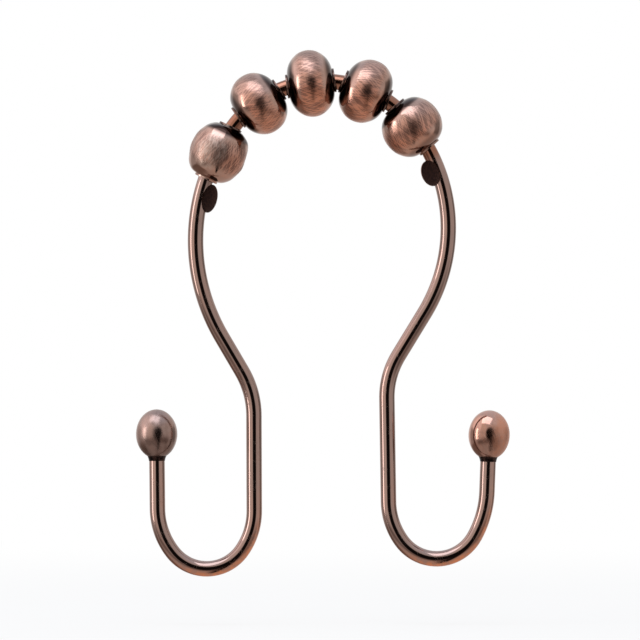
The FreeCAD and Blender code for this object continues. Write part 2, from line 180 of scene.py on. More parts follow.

# where the pieces are rubbed or dull, and where the balls are painted with shade: a direction,
# and how far a point has to face it for the mask to start and to be full; the wire is rubbed
# only low down in its hooks
WIRE_RUBBED = ((0.34, -0.22, -0.92), 0.20, 0.92)
BEAD_RUBBED = ((0.25, -0.25, -0.93), -0.5, 0.8)
BEAD_DULL = ((-0.32, -0.94, 0.04), 0.80, 0.97)
BALL_RUBBED = ((0.88, -0.45, -0.12), 0.30, 0.75)
# painted shade: the balls' sides that face down and to the front are darkened
BALL_PAINTED_SHADE = {
    "left": ((0.1, -0.50, -0.85), 0.15, 0.95),
    "right": ((-0.25, -0.80, -0.55), 0.15, 0.95),
}
RUBBED_BELOW = -44 * MM
RUBBED_FULLY = -60 * MM

# how far from the crown's top, in millimetres along the wire, it is darker red brown under the
# beads
DARKER_FULLY = 25.0
DARKER_UP_TO = 27.5

# the camera and the floor; the photographed field is 640 pixels of 0.185 mm wide
CAMERA_DISTANCE = 1.2
SENSOR_WIDTH = 36.0
NEAREST_SEEN = 0.01
FIELD_WIDTH = 640 * 0.185 * MM
VIEW_MIDDLE = Vector((-0.61 * MM, 0.0, -23.45 * MM))
FLOOR_LEVEL = -80.0 * MM
FLOOR_SPAN = 3.0

# colours that are used as they stand: red, green, blue and full cover
WHITE = (1.0, 1.0, 1.0, 1.0)
# painted shade: the near black of the beads' necks, where neighbouring beads are reflected dark
NECK_SHADE_BLACK = (0.040, 0.022, 0.018, 1.0)
DULL_SPOT = (0.58, 0.45, 0.38, 1.0)
# painted shade: the near black of the fillet where an end ball meets the wire, with dark oxide
JOINT_SHADE_BLACK = (0.008, 0.006, 0.006, 1.0)
FLOOR_GRAIN = (0.74, 0.74, 0.74, 1.0)
TENT_LEFT = (0.98, 0.96, 0.95, 1.0)
TENT_RIGHT = (0.86, 0.85, 0.84, 1.0)
TENT_LOW = (0.68, 0.64, 0.61, 1.0)
TENT_HIGH = (0.94, 1.04, 1.18, 1.0)
TENT_GLOW = (1.70, 1.62, 1.66, 1.0)
TENT_SHADE = (0.30, 0.24, 0.21, 1.0)
TENT_PANEL = (1.16, 1.08, 1.02, 1.0)
FLANK_LEFT = (0.62, 0.60, 0.59, 1.0)
FLANK_RIGHT = (0.34, 0.33, 0.32, 1.0)
TABLE_EDGE = (0.27, 0.225, 0.205, 1.0)
CAMERA_BLACK = (0.012, 0.010, 0.010, 1.0)


class HookSizes(bpy.types.PropertyGroup):
    """Sizes that the hook's pieces take from here."""

    wire_diameter: bpy.props.FloatProperty(
        name="Wire", description="Diameter of the round wire",
        default=2.9 * MM, unit="LENGTH", precision=5)
    socket_depth: bpy.props.FloatProperty(
        name="Socket", description="How far the wire's tip goes into an end ball",
        default=3.5 * MM, unit="LENGTH", precision=5)
    ring_step: bpy.props.FloatProperty(
        name="Ring step", description="Distance between two rings of the wire's mesh",
        default=0.6 * MM, unit="LENGTH", precision=5)
    ear_thickness: bpy.props.FloatProperty(
        name="Ear thickness", description="Flat that the press leaves",
        default=1.0 * MM, unit="LENGTH", precision=5)
    ear_dish: bpy.props.FloatProperty(
        name="Ear dish", description="How deep the press leaves the ear's middle",
        default=0.10 * MM, unit="LENGTH", precision=5)
    bore_diameter: bpy.props.FloatProperty(
        name="Bore", description="Hole through a roller bead",
        default=4.0 * MM, unit="LENGTH", precision=5)
    collar_diameter: bpy.props.FloatProperty(
        name="Collar", description="Outside of the thin collar at each end of a bead",
        default=4.45 * MM, unit="LENGTH", precision=5)
    collar_length: bpy.props.FloatProperty(
        name="Collar length", description="How far the collar stands out of the bead",
        default=0.35 * MM, unit="LENGTH", precision=5)
    ball_height: bpy.props.FloatProperty(
        name="Ball height", description="End ball along the wire, if it were whole",
        default=9.15 * MM, unit="LENGTH", precision=5)
    edge_round: bpy.props.FloatProperty(
        name="Edge rounding", description="Rounding of rims and pressed edges",
        default=0.06 * MM, unit="LENGTH", precision=5)


class HookColours(bpy.types.PropertyGroup):
    """Colours that the hook's finishes and its studio take from here."""

    patina: bpy.props.FloatVectorProperty(
        name="Patina", description="Taupe of the sound plating",
        default=(0.405, 0.260, 0.211), subtype="COLOR", min=0, max=1)
    drawn: bpy.props.FloatVectorProperty(
        name="Drawn wire", description="Grey brown plating of the polished wire",
        default=(0.285, 0.204, 0.178), subtype="COLOR", min=0, max=1)
    copper: bpy.props.FloatVectorProperty(
        name="Copper", description="Copper that brushing brings out",
        default=(0.585, 0.261, 0.179), subtype="COLOR", min=0, max=1)
    bright: bpy.props.FloatVectorProperty(
        name="Bright copper", description="Orange copper where the patina is rubbed off",
        default=(0.74, 0.27, 0.13), subtype="COLOR", min=0, max=1)
    umber: bpy.props.FloatVectorProperty(
        name="Umber", description="Dark patina in hollows and blotches",
        default=(0.075, 0.038, 0.030), subtype="COLOR", min=0, max=1)
    pressed: bpy.props.FloatVectorProperty(
        name="Pressed ear", description="Matte dark brown of the pressed ears",
        default=(0.036, 0.022, 0.021), subtype="COLOR", min=0, max=1)
    floor: bpy.props.FloatVectorProperty(
        name="Floor", description="Plain pale floor",
        default=(0.62, 0.61, 0.60), subtype="COLOR", min=0, max=1)


# the wire's path

def turned_by(spoke, angle):
    """A flat vector turned anticlockwise by an angle."""
    cos, sin = math.cos(angle), math.sin(angle)
    return Vector((cos * spoke.x - sin * spoke.y, sin * spoke.x + cos * spoke.y))


def wire_walk(side, socket_depth):
    """One side of the wire's centreline, from the crown's top: a list of runs and bends.

    Points are (x, z) in metres, headings and turns in radians, anticlockwise seen from the
    front, where X is to the right and Z up.
    """
    sign = SIDES[side]
    point = Vector((0.0, WIRE_RUN[side][0][2] * MM))
    heading = 0.0 if sign > 0 else math.pi
    walk = []
    for name, turn, measure, angle in WIRE_RUN[side]:
        size = measure * MM
        if turn == 0:
            length = size + (socket_depth if name == "tip" else 0.0)
            ahead = Vector((math.cos(heading), math.sin(heading)))
            entry = dict(start=point, end=point + ahead * length, heading=heading, turn=0.0,
                         length=length)
        else:
            turned = -sign * turn * math.radians(angle)
            aside = Vector((-math.sin(heading), math.cos(heading)))
            centre = point + aside * math.copysign(size, turned)
            entry = dict(start=point, end=centre + turned_by(point - centre, turned),
                         heading=heading, turn=turned, length=size * abs(turned), centre=centre,
                         radius=size)
            heading += turned
        walk.append(entry)
        point = entry["end"]
    return walk


def backwards(walk):
    """The same walk from its tip back to the crown's top."""
    turned_round = []
    for entry in reversed(walk):
        other = dict(entry)
        other["start"], other["end"] = entry["end"], entry["start"]
        other["heading"] = entry["heading"] + entry["turn"] + math.pi
        other["turn"] = -entry["turn"]
        turned_round.append(other)
    return turned_round


def place_along(side, station, socket_depth):
    """Point and outward heading on one side of the wire, a distance from the crown's top."""
    left = station
    for entry in wire_walk(side, socket_depth):
        if left <= entry["length"]:
            break
        left -= entry["length"]
    share = left / entry["length"]
    if entry["turn"] == 0:
        return entry["start"].lerp(entry["end"], share), entry["heading"]
    angle = entry["turn"] * share
    point = entry["centre"] + turned_by(entry["start"] - entry["centre"], angle)
    return point, entry["heading"] + angle


def upright_place(point, heading):
    """Matrix whose X runs along a heading of the XZ plane, and whose Z points to the front."""
    along = Vector((math.cos(heading), 0.0, math.sin(heading)))
    aside = Vector((-math.sin(heading), 0.0, math.cos(heading)))
    front = along.cross(aside)
    turn = Matrix((along, aside, front)).transposed().to_4x4()
    return Matrix.Translation((point.x, 0.0, point.y)) @ turn


# modelling steps

def deselect_all():
    """Deselect every object, because an operator acts on all that is selected."""
    bpy.ops.object.select_all(action="DESELECT")


def select_only(piece):
    """Make one piece the only selected and the active one."""
    deselect_all()
    piece.select_set(True)
    bpy.context.view_layer.objects.active = piece


def name_piece(name):
    """Name the new piece and its mesh."""
    piece = bpy.context.object
    piece.name = name
    piece.data.name = name
    return piece


def apply_place(piece):
    """Put the object's place into its mesh."""
    select_only(piece)
    bpy.ops.object.transform_apply(location=True, rotation=True, scale=True)


def start_ring(name, radius, points, matrix):
    """A new piece that is one selected ring about a matrix's own X, open in edit mode."""
    deselect_all()
    bpy.ops.mesh.primitive_circle_add(vertices=points, radius=radius)
    piece = name_piece(name)
    piece.matrix_world = matrix @ Matrix.Rotation(math.radians(90), 4, "Y")
    apply_place(piece)
    bpy.ops.object.mode_set(mode="EDIT")
    bpy.ops.mesh.select_mode(type="VERT")
    bpy.ops.mesh.select_all(action="SELECT")
    return piece


def extrude_ring(step, scale=1.0, centre=(0.0, 0.0, 0.0)):
    """Extrude the selected ring by a step and scale it about a centre across X."""
    bpy.ops.mesh.extrude_region_move(TRANSFORM_OT_translate={"value": step})
    if not math.isclose(scale, 1.0, rel_tol=0.0, abs_tol=1e-6):
        bpy.ops.transform.resize(value=(1.0, scale, scale), center_override=centre)


def close_piece():
    """Merge doubled points, close the ends, point all faces outwards and leave edit mode."""
    bpy.ops.mesh.select_all(action="SELECT")
    bpy.ops.mesh.remove_doubles(threshold=MERGE_DISTANCE)
    bpy.ops.mesh.fill_holes(sides=0)
    bpy.ops.mesh.select_all(action="SELECT")
    bpy.ops.mesh.normals_make_consistent(inside=False)
    bpy.ops.object.mode_set(mode="OBJECT")


def add_modifier(piece, kind, **settings):
    """Add a modifier, set it and apply it."""
    select_only(piece)
    modifier = piece.modifiers.new(kind.title(), kind)
    for key, value in settings.items():
        setattr(modifier, key, value)
    bpy.ops.object.modifier_apply(modifier=modifier.name)


def smooth_by_angle(piece, degrees):
    """Shade a piece smooth but for its edges sharper than an angle."""
    select_only(piece)
    bpy.ops.object.shade_smooth_by_angle(angle=math.radians(degrees))


def lathe(name, outline, points):
    """Turn an outline of (x, radius) about X: a ring is extruded and scaled from point to point."""
    x, radius = outline[0]
    piece = start_ring(name, radius, points, Matrix.Translation((x, 0.0, 0.0)))
    for next_x, next_radius in outline[1:]:
        extrude_ring((next_x - x, 0.0, 0.0), next_radius / radius, (next_x, 0.0, 0.0))
        x, radius = next_x, next_radius
    close_piece()
    return piece


def remove_piece(piece):
    """Take a helper piece out of the scene."""
    bpy.data.objects.remove(piece, do_unlink=True)


def smoothstep(value, low, high):
    """0 below a low value, 1 above a high one, and a soft rise between them."""
    share = min(max((value - low) / (high - low), 0.0), 1.0)
    return share * share * (3.0 - 2.0 * share)


def write_points(piece, name, kind, values):
    """Store one value for each point of a piece's mesh: kind is FLOAT or FLOAT_VECTOR."""
    attribute = piece.data.attributes.new(name, kind, "POINT")
    if kind == "FLOAT":
        attribute.data.foreach_set("value", values)
    else:
        attribute.data.foreach_set("vector", [number for value in values for number in value])


def facing_mask(piece, side, low, high):
    """How much each point of a piece faces a side: 0 below a low share, 1 above a high one."""
    side = Vector(side).normalized()
    return [smoothstep(point.normal.dot(side), low, high) for point in piece.data.vertices]


# the wire

def sweep_wire(sizes):
    """One ring taken from the left tip over the crown to the right tip by spins and extrudes."""
    walk = backwards(wire_walk("left", sizes.socket_depth))
    walk += wire_walk("right", sizes.socket_depth)
    first = walk[0]
    start = upright_place(first["start"], first["heading"])
    wire = start_ring("bent_wire", sizes.wire_diameter / 2, WIRE_POINTS, start)
    for entry in walk:
        steps = max(2, math.ceil(entry["length"] / sizes.ring_step))
        if entry["turn"] == 0:
            run = (entry["end"] - entry["start"]) / steps
            for _ in range(steps):
                extrude_ring((run.x, 0.0, run.y))
        else:
            centre = (entry["centre"].x, 0.0, entry["centre"].y)
            bpy.ops.mesh.spin(steps=steps, angle=entry["turn"], center=centre, axis=(0, 1, 0))
    close_piece()
    return wire


def ear_place(side, sizes):
    """Matrix of an ear's middle, its X along the wire and its Z to the front, and its size."""
    station, length, width, reach = (value * MM for value in EARS[side])
    point, heading = place_along(side, station, sizes.socket_depth)
    inward = Vector((math.sin(heading), -math.cos(heading))) * SIDES[side]
    offset = sizes.wire_diameter / 2 + reach - width / 2
    return upright_place(point + inward * offset, heading), length, width


def ear_outline(name, side, sizes, depth, spare=0.0):
    """A flat oval across the wire's plane, as thick as depth, and narrower by a spare."""
    matrix, length, width = ear_place(side, sizes)
    deselect_all()
    bpy.ops.mesh.primitive_cylinder_add(vertices=EAR_POINTS, radius=0.5, depth=1.0)
    oval = name_piece(name)
    oval.matrix_world = matrix @ Matrix.Diagonal((length - spare, width - spare, depth, 1.0))
    apply_place(oval)
    return oval


def pressed_ear(side, sizes):
    """The ear: the oval with its two flats inset and sunk a little, and its rim rounded."""
    ear = ear_outline(side + "_ear", side, sizes, sizes.ear_thickness)
    bpy.ops.object.mode_set(mode="EDIT")
    bpy.ops.mesh.select_mode(type="FACE")
    for front in (-1, 1):
        for inset, share in EAR_INSETS:
            select_ear_flat(ear, front)
            bpy.ops.mesh.inset(thickness=inset * MM, depth=0)
            bpy.ops.transform.translate(value=(0.0, -front * sizes.ear_dish * share, 0.0))
    bpy.ops.object.mode_set(mode="OBJECT")
    add_modifier(ear, "BEVEL", width=sizes.edge_round * 2, segments=3, limit_method="ANGLE",
                 angle_limit=math.radians(EAR_BEVEL_ANGLE))
    return ear


def select_ear_flat(ear, front):
    """Select the ear's innermost flat on one side."""
    bpy.ops.mesh.select_all(action="DESELECT")
    bpy.ops.object.mode_set(mode="OBJECT")
    flats = [face for face in ear.data.polygons
             if len(face.vertices) > 4 and face.normal.y * front > FLAT_FACING]
    for face in flats:
        face.select = True
    bpy.ops.object.mode_set(mode="EDIT")


def press_wire(wire, side, sizes):
    """Cut the oval out of the wire and leave the ear in it, as a press does."""
    through = 2 * sizes.wire_diameter
    cutter = ear_outline(side + "_press", side, sizes, through, PRESS_SPARE)
    add_modifier(wire, "BOOLEAN", operation="DIFFERENCE", solver="EXACT", object=cutter)
    remove_piece(cutter)
    ear = pressed_ear(side, sizes)
    add_modifier(wire, "BOOLEAN", operation="UNION", solver="EXACT", object=ear)
    remove_piece(ear)


def wire_places(wire, sizes):
    """For each point of the wire: distance along it and place round it, all in millimetres."""
    walks = []
    for side in SIDES:
        station = 0.0
        for entry in wire_walk(side, sizes.socket_depth):
            walks.append((SIDES[side], station, entry))
            station += entry["length"]
    places = []
    for point in wire.data.vertices:
        flat = Vector((point.co.x, point.co.z))
        best = None
        for sign, station, entry in walks:
            along, aside = along_entry(entry, flat)
            if best is None or abs(aside) < abs(best[1]):
                best = (sign * (station + along), aside * sign)
        places.append((best[0] / MM, best[1] / MM, point.co.y / MM))
    return places


def along_entry(entry, flat):
    """Distance along a bend or run to a point beside it, and how far aside the point lies."""
    if entry["turn"] == 0:
        ahead = Vector((math.cos(entry["heading"]), math.sin(entry["heading"])))
        reach = flat - entry["start"]
        along = min(max(reach.dot(ahead), 0.0), entry["length"])
        aside = ahead.x * reach.y - ahead.y * reach.x
        if not -ENTRY_SLACK <= reach.dot(ahead) <= entry["length"] + ENTRY_SLACK:
            aside = FAR_AWAY
        return along, aside
    spoke = flat - entry["centre"]
    first = entry["start"] - entry["centre"]
    cross = first.x * spoke.y - first.y * spoke.x
    angle = math.atan2(cross, first.dot(spoke)) * math.copysign(1.0, entry["turn"])
    aside = (entry["radius"] - spoke.length) * math.copysign(1.0, entry["turn"])
    slack = ENTRY_SLACK / entry["radius"]
    if angle < -slack or angle > abs(entry["turn"]) + slack:
        aside = FAR_AWAY
    return min(max(angle, 0.0), abs(entry["turn"])) * entry["radius"], aside


def pressed_mask(wire, sizes):
    """1 on the flats of the ears, less on their rims, 0 on the round wire."""
    ears = [ear_place(side, sizes) for side in SIDES]
    inverted = [(matrix.inverted(), length, width) for matrix, length, width in ears]
    values = []
    for point in wire.data.vertices:
        inside = 0.0
        for matrix, length, width in inverted:
            place = matrix @ point.co
            share = math.hypot(2 * place.x / length, 2 * place.y / width)
            if share < EAR_EDGE and abs(place.z) < EAR_HALF_DEPTH * sizes.ear_thickness:
                inside = 1.0 if share < EAR_RIM else EAR_RIM_PRESSED
        values.append(inside)
    return values


class HOOK_OT_wire(bpy.types.Operator):
    """Bend the wire from tip to tip and press its two ears"""

    bl_idname = "hook.bend_wire"
    bl_label = "Bend the wire"

    def execute(self, context):
        sizes = context.scene.hook_sizes
        wire = sweep_wire(sizes)
        for side in SIDES:
            press_wire(wire, side, sizes)
        smooth_by_angle(wire, WIRE_EDGE_ANGLE)
        write_points(wire, "place", "FLOAT_VECTOR", wire_places(wire, sizes))
        facing = facing_mask(wire, *WIRE_RUBBED)
        lowness = [1.0 - smoothstep(point.co.z, RUBBED_FULLY, RUBBED_BELOW)
                   for point in wire.data.vertices]
        rubbed = [share * low for share, low in zip(facing, lowness)]
        write_points(wire, "rubbed", "FLOAT", rubbed)
        write_points(wire, "pressed", "FLOAT", pressed_mask(wire, sizes))
        wire.data.materials.append(polished_wire(context.scene.hook_colours))
        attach(wire, "root")
        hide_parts("wire_frame")
        return {"FINISHED"}


# the roller beads

def bead_frame(name):
    """A bead's middle, its bore's direction, its diameter and its length, from the frame."""
    joint = [row for row in frame["joints"] if row["child"] == name][0]
    middle, axis = Vector(joint["pos_m"]), Vector(joint["axis"])
    reach = [(point.co - middle).dot(axis) for point in frame["nodes"][name].data.vertices]
    low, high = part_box(name)
    return middle, axis, high.y - low.y, max(reach) - min(reach)


def bead_outline(diameter, length, sizes):
    """A bead's outline from bore to bore: collar, flank, middle arc, flank, collar."""
    half, top = length / 2, diameter / 2
    bore, neck = sizes.bore_diameter / 2, sizes.collar_diameter / 2
    shoulder = half - sizes.collar_length
    reach = shoulder / math.sqrt(1 - (neck / top) ** 2)
    middle_radius = BEAD_FULLNESS * reach ** 2 / top
    joint_x = middle_radius * math.sin(HALF_CROWN)
    joint_z = top - middle_radius * (1 - math.cos(HALF_CROWN))
    across, down = shoulder - joint_x, neck - joint_z
    slope = across * math.sin(HALF_CROWN) + down * math.cos(HALF_CROWN)
    flank_radius = -(across ** 2 + down ** 2) / (2 * slope)
    flank_x = joint_x - flank_radius * math.sin(HALF_CROWN)
    flank_z = joint_z - flank_radius * math.cos(HALF_CROWN)
    last = math.atan2(shoulder - flank_x, neck - flank_z)
    side = []
    for step in range(MIDDLE_STEPS // 2 + 1):
        angle = HALF_CROWN * step / (MIDDLE_STEPS // 2)
        side.append((middle_radius * math.sin(angle), top - middle_radius * (1 - math.cos(angle))))
    for step in range(1, FLANK_STEPS + 1):
        angle = HALF_CROWN + (last - HALF_CROWN) * step / FLANK_STEPS
        side.append((flank_x + flank_radius * math.sin(angle),
                     flank_z + flank_radius * math.cos(angle)))
    side += [(half, neck), (half, bore)]
    other = [(-x, radius) for x, radius in reversed(side[1:])]
    return other + side + [(-half, bore)]


def outside_group(piece, radius):
    """Weight of the dents: 1 well outside a radius about X, 0 at and within it."""
    group = piece.vertex_groups.new(name="outside")
    for point in piece.data.vertices:
        away = math.hypot(point.co.y, point.co.z)
        weight = smoothstep(away, radius * SWELLS_FROM, radius * SWELLS_FULLY)
        group.add([point.index], weight, "REPLACE")


def dent(piece, depth, spread, start):
    """Slight unevenness of a formed surface, by soft clouds."""
    texture = bpy.data.textures.new(piece.name + "_clouds", "CLOUDS")
    texture.noise_scale = spread
    texture.noise_depth = 1
    shift = bpy.data.objects.new(piece.name + "_clouds_place", None)
    bpy.context.collection.objects.link(shift)
    shift.location = (start * MM, 0.0, start * 0.5 * MM)
    bpy.context.view_layer.update()
    add_modifier(piece, "DISPLACE", texture=texture, texture_coords="OBJECT",
                 texture_coords_object=shift, strength=depth, mid_level=0.5,
                 vertex_group="outside")
    remove_piece(shift)
    bpy.data.textures.remove(texture)


def bead_places(piece, diameter, start):
    """For each point of a bead about X: place along its bore and round it, in millimetres."""
    places = []
    for point in piece.data.vertices:
        x, y, z = point.co
        away = max(math.hypot(y, z), 1e-9)
        along = math.copysign(math.hypot(x, diameter / 2 - away), x)
        places.append((along / MM + start, y / away * diameter / 2 / MM,
                       z / away * diameter / 2 / MM))
    return places


def belly_mask(piece, length):
    """1 on a bead's belly, which is brushed, and 0 near its collars."""
    return [1.0 - smoothstep(abs(point.co.x) / (length / 2), *BELLY_FADE)
            for point in piece.data.vertices]


def neck_shade_mask(piece, length, look):
    """Painted shade near a bead's two ends, where the neighbouring beads are reflected dark."""
    values = []
    for point in piece.data.vertices:
        outwards = abs(point.co.x) / (length / 2)
        share = look.left_neck if point.co.x < 0 else look.right_neck
        values.append(min(1.0, share * smoothstep(outwards, *NECK_SHADE_RISE)))
    return values


def rim_mask(piece, length, sizes):
    """1 on the rounded rim of a bead's collars, where a highlight is painted, 0 elsewhere."""
    margin = RIM_WIDTH * sizes.edge_round
    values = []
    for point in piece.data.vertices:
        near_end = length / 2 - abs(point.co.x) < margin
        away = math.hypot(point.co.y, point.co.z)
        near_rim = away > sizes.collar_diameter / 2 - margin
        values.append(1.0 if near_end and near_rim else 0.0)
    return values


def turn_bead(name, sizes):
    """Lathe one bead about X, give it its unevenness and its own coordinates, and place it."""
    middle, axis, diameter, length = bead_frame(name)
    look = BEAD_LOOKS[name]
    bead = lathe(name.replace("roller", "brushed"), bead_outline(diameter, length, sizes),
                 BEAD_POINTS)
    add_modifier(bead, "BEVEL", width=sizes.edge_round, segments=2, limit_method="ANGLE",
                 angle_limit=math.radians(BEAD_BEVEL_ANGLE))
    outside_group(bead, sizes.collar_diameter / 2)
    dent(bead, look.dent * MM, BEAD_SWELL_WIDTH, look.grain)
    bead.vertex_groups.clear()
    write_points(bead, "place", "FLOAT_VECTOR", bead_places(bead, diameter, look.grain))
    write_points(bead, "belly", "FLOAT", belly_mask(bead, length))
    write_points(bead, "rim", "FLOAT", rim_mask(bead, length, sizes))
    # painted shade near the necks, stronger on the ends that face another bead
    write_points(bead, "neck", "FLOAT", neck_shade_mask(bead, length, look))
    bead.matrix_world = upright_place(Vector((middle.x, middle.z)), math.atan2(axis.z, axis.x))
    apply_place(bead)
    write_points(bead, "rubbed", "FLOAT", facing_mask(bead, *BEAD_RUBBED))
    if name == DULL_BEAD:
        write_points(bead, "dull", "FLOAT", facing_mask(bead, *BEAD_DULL))
    smooth_by_angle(bead, BEAD_EDGE_ANGLE)
    return bead


class HOOK_OT_beads(bpy.types.Operator):
    """Turn the five roller beads and thread them on the crown"""

    bl_idname = "hook.turn_beads"
    bl_label = "Turn the roller beads"

    def execute(self, context):
        for name in BEAD_LOOKS:
            bead = turn_bead(name, context.scene.hook_sizes)
            bead.data.materials.append(brushed_bead(name, context.scene.hook_colours))
            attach(bead, name)
            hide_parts(name)
        return {"FINISHED"}


# the end balls

def mouth_drop(sizes, diameter):
    """How far an end ball's mouth, where the wire goes in, lies from its middle."""
    return sizes.ball_height / 2 * math.sqrt(1 - (sizes.wire_diameter / diameter) ** 2)


def ball_outline(diameter, sizes):
    """An end ball's outline from its far pole to the wire's socket, the wire coming from -X."""
    half, top, neck = sizes.ball_height / 2, diameter / 2, sizes.wire_diameter / 2
    last = math.pi - math.asin(neck / top)
    outline = []
    for step in range(BALL_STEPS + 1):
        angle = POLE_SHARE + (last - POLE_SHARE) * step / BALL_STEPS
        outline.append((half * math.cos(angle), top * math.sin(angle)))
    mouth_x = outline[-1][0]
    outline.append((mouth_x + sizes.socket_depth, neck))
    return outline


def ball_place(side, sizes, diameter):
    """Matrix of an end ball's middle, its X along the wire's tip."""
    tip = wire_walk(side, 0.0)[-1]
    ahead = Vector((math.cos(tip["heading"]), math.sin(tip["heading"])))
    return upright_place(tip["end"] + ahead * mouth_drop(sizes, diameter), tip["heading"])


def shape_ball(side, sizes):
    """Lathe one end ball, dent it a little and place it on its tip."""
    low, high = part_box("end_ball_" + side)
    diameter = high.y - low.y
    ball = lathe(side + "_ball", ball_outline(diameter, sizes), BALL_POINTS)
    outside_group(ball, sizes.wire_diameter / 2)
    dent(ball, BALL_SWELL_DEPTH, BALL_SWELL_WIDTH, BALL_GRAIN[side])
    ball.vertex_groups.clear()
    places = bead_places(ball, diameter, BALL_GRAIN[side])
    write_points(ball, "place", "FLOAT_VECTOR", places)
    ball.matrix_world = ball_place(side, sizes, diameter)
    apply_place(ball)
    write_points(ball, "rubbed", "FLOAT", facing_mask(ball, *BALL_RUBBED))
    # painted shade on the ball's side that faces down and to the front
    write_points(ball, "painted_shade", "FLOAT", facing_mask(ball, *BALL_PAINTED_SHADE[side]))
    smooth_by_angle(ball, BEAD_EDGE_ANGLE)
    return ball, diameter


def shape_joint(side, sizes, diameter):
    """The rough dark fillet where an end ball sits on its tip."""
    neck, height = sizes.wire_diameter / 2, JOINT_HEIGHT
    drop = mouth_drop(sizes, diameter)
    outline = [(-drop - height * JOINT_START, neck - JOINT_SKIN)]
    for step in range(JOINT_STEPS + 1):
        share = step / JOINT_STEPS
        swell = neck + JOINT_SKIN + JOINT_SWELL * share ** JOINT_FLARE
        outline.append((-drop + height * (share - JOINT_FOOT), swell))
    outline.append((-drop + height * JOINT_END, neck - JOINT_SKIN))
    joint = lathe(side + "_ball_joint", outline, JOINT_POINTS)
    outside_group(joint, neck * JOINT_SMOOTH)
    dent(joint, LUMP_DEPTH[side], LUMP_WIDTH, LUMP_GRAIN[side])
    joint.vertex_groups.clear()
    joint.matrix_world = ball_place(side, sizes, diameter)
    apply_place(joint)
    smooth_by_angle(joint, JOINT_EDGE_ANGLE)
    return joint


class HOOK_OT_balls(bpy.types.Operator):
    """Shape the two end balls and the joints that hold them on the wire's tips"""

    bl_idname = "hook.shape_balls"
    bl_label = "Shape the end balls"

    def execute(self, context):
        sizes, colours = context.scene.hook_sizes, context.scene.hook_colours
        fillet = joint_oxide_and_shade(colours)
        for side in SIDES:
            ball, diameter = shape_ball(side, sizes)
            ball.data.materials.append(scuffed_ball(side, colours))
            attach(ball, "root")
            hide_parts("end_ball_" + side)
            joint = shape_joint(side, sizes, diameter)
            joint.data.materials.append(fillet)
            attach(joint, "root")
        return {"FINISHED"}


# shader nodes

class Tree:
    """Adds nodes to a node tree and links them."""

    def __init__(self, tree):
        self.tree = tree

    def add(self, kind, settings=None, **inputs):
        """A node; an input's name has underscores for spaces, and may be given a socket."""
        node = self.tree.nodes.new(kind)
        for key, value in (settings or {}).items():
            setattr(node, key, value)
        for key, value in inputs.items():
            self.feed(node.inputs[key.replace("_", " ")], value)
        return node

    def feed(self, socket, value):
        """Link another socket to a socket, or give it a fixed value."""
        if isinstance(value, bpy.types.NodeSocket):
            self.tree.links.new(value, socket)
        else:
            socket.default_value = value

    def math(self, operation, first, second=0.0):
        """One step of arithmetic on one or two numbers."""
        node = self.add("ShaderNodeMath", {"operation": operation})
        self.feed(node.inputs[0], first)
        self.feed(node.inputs[1], second)
        return node.outputs[0]

    def times(self, first, second):
        """The product of two numbers."""
        return self.math("MULTIPLY", first, second)

    def plus(self, first, second):
        """The sum of two numbers."""
        return self.math("ADD", first, second)

    def minus(self, first, second):
        """The difference of two numbers."""
        return self.math("SUBTRACT", first, second)

    def ramp(self, value, low, high, to_low=0.0, to_high=1.0):
        """A smooth step of a value from one range to another."""
        node = self.add("ShaderNodeMapRange", {"interpolation_type": "SMOOTHSTEP"}, Value=value,
                        From_Min=low, From_Max=high, To_Min=to_low, To_Max=to_high)
        return node.outputs[0]

    def mix(self, share, first, second):
        """A mix of two colours."""
        node = self.add("ShaderNodeMix", {"data_type": "RGBA"})
        self.feed(node.inputs[0], share)
        self.feed(node.inputs[6], first)
        self.feed(node.inputs[7], second)
        return node.outputs[2]

    def blend(self, share, first, second):
        """A mix of two numbers."""
        node = self.add("ShaderNodeMix", {"data_type": "FLOAT"})
        self.feed(node.inputs[0], share)
        self.feed(node.inputs[2], first)
        self.feed(node.inputs[3], second)
        return node.outputs[0]

    def noise(self, place, scale, detail=2.0, roughness=0.5):
        """Soft noise between 0 and 1."""
        node = self.add("ShaderNodeTexNoise", Vector=place, Scale=scale, Detail=detail,
                        Roughness=roughness)
        return node.outputs["Fac"]

    def stretch(self, place, scale):
        """A place with each of its axes scaled."""
        return self.add("ShaderNodeMapping", Vector=place, Scale=scale).outputs[0]

    def roll(self, place, kind, **inputs):
        """A place turned about its origin."""
        node = self.add("ShaderNodeVectorRotate", {"rotation_type": kind}, Vector=place, **inputs)
        return node.outputs[0]

    def split(self, place):
        """The three numbers of a place."""
        return self.add("ShaderNodeSeparateXYZ", Vector=place).outputs

    def own_place(self):
        """The place that each point of the mesh holds, in millimetres along and round it."""
        return self.add("ShaderNodeAttribute", {"attribute_name": "place"}).outputs["Vector"]

    def mask(self, name):
        """A mask that each point of the mesh holds."""
        return self.add("ShaderNodeAttribute", {"attribute_name": name}).outputs["Fac"]

    def group(self, tree, **inputs):
        """The one output of a node group."""
        return self.add("ShaderNodeGroup", {"node_tree": tree}, **inputs).outputs[0]

    def bump(self, shader, height, strength, distance):
        """Raise a shader's surface by a height of 0 to 1 times a distance."""
        node = self.add("ShaderNodeBump", Strength=strength, Distance=distance, Height=height)
        self.feed(shader.inputs["Normal"], node.outputs[0])


def new_group(name, inputs, outputs):
    """An empty shader node group with named sockets, and its two ends."""
    tree = bpy.data.node_groups.new(name, "ShaderNodeTree")
    kinds = {"vector": "NodeSocketVector", "colour": "NodeSocketColor", "value": "NodeSocketFloat"}
    for socket, kind in inputs:
        tree.interface.new_socket(socket, in_out="INPUT", socket_type=kinds[kind])
    for socket, kind in outputs:
        tree.interface.new_socket(socket, in_out="OUTPUT", socket_type=kinds[kind])
    start = tree.nodes.new("NodeGroupInput")
    end = tree.nodes.new("NodeGroupOutput")
    return Tree(tree), start.outputs, end.inputs


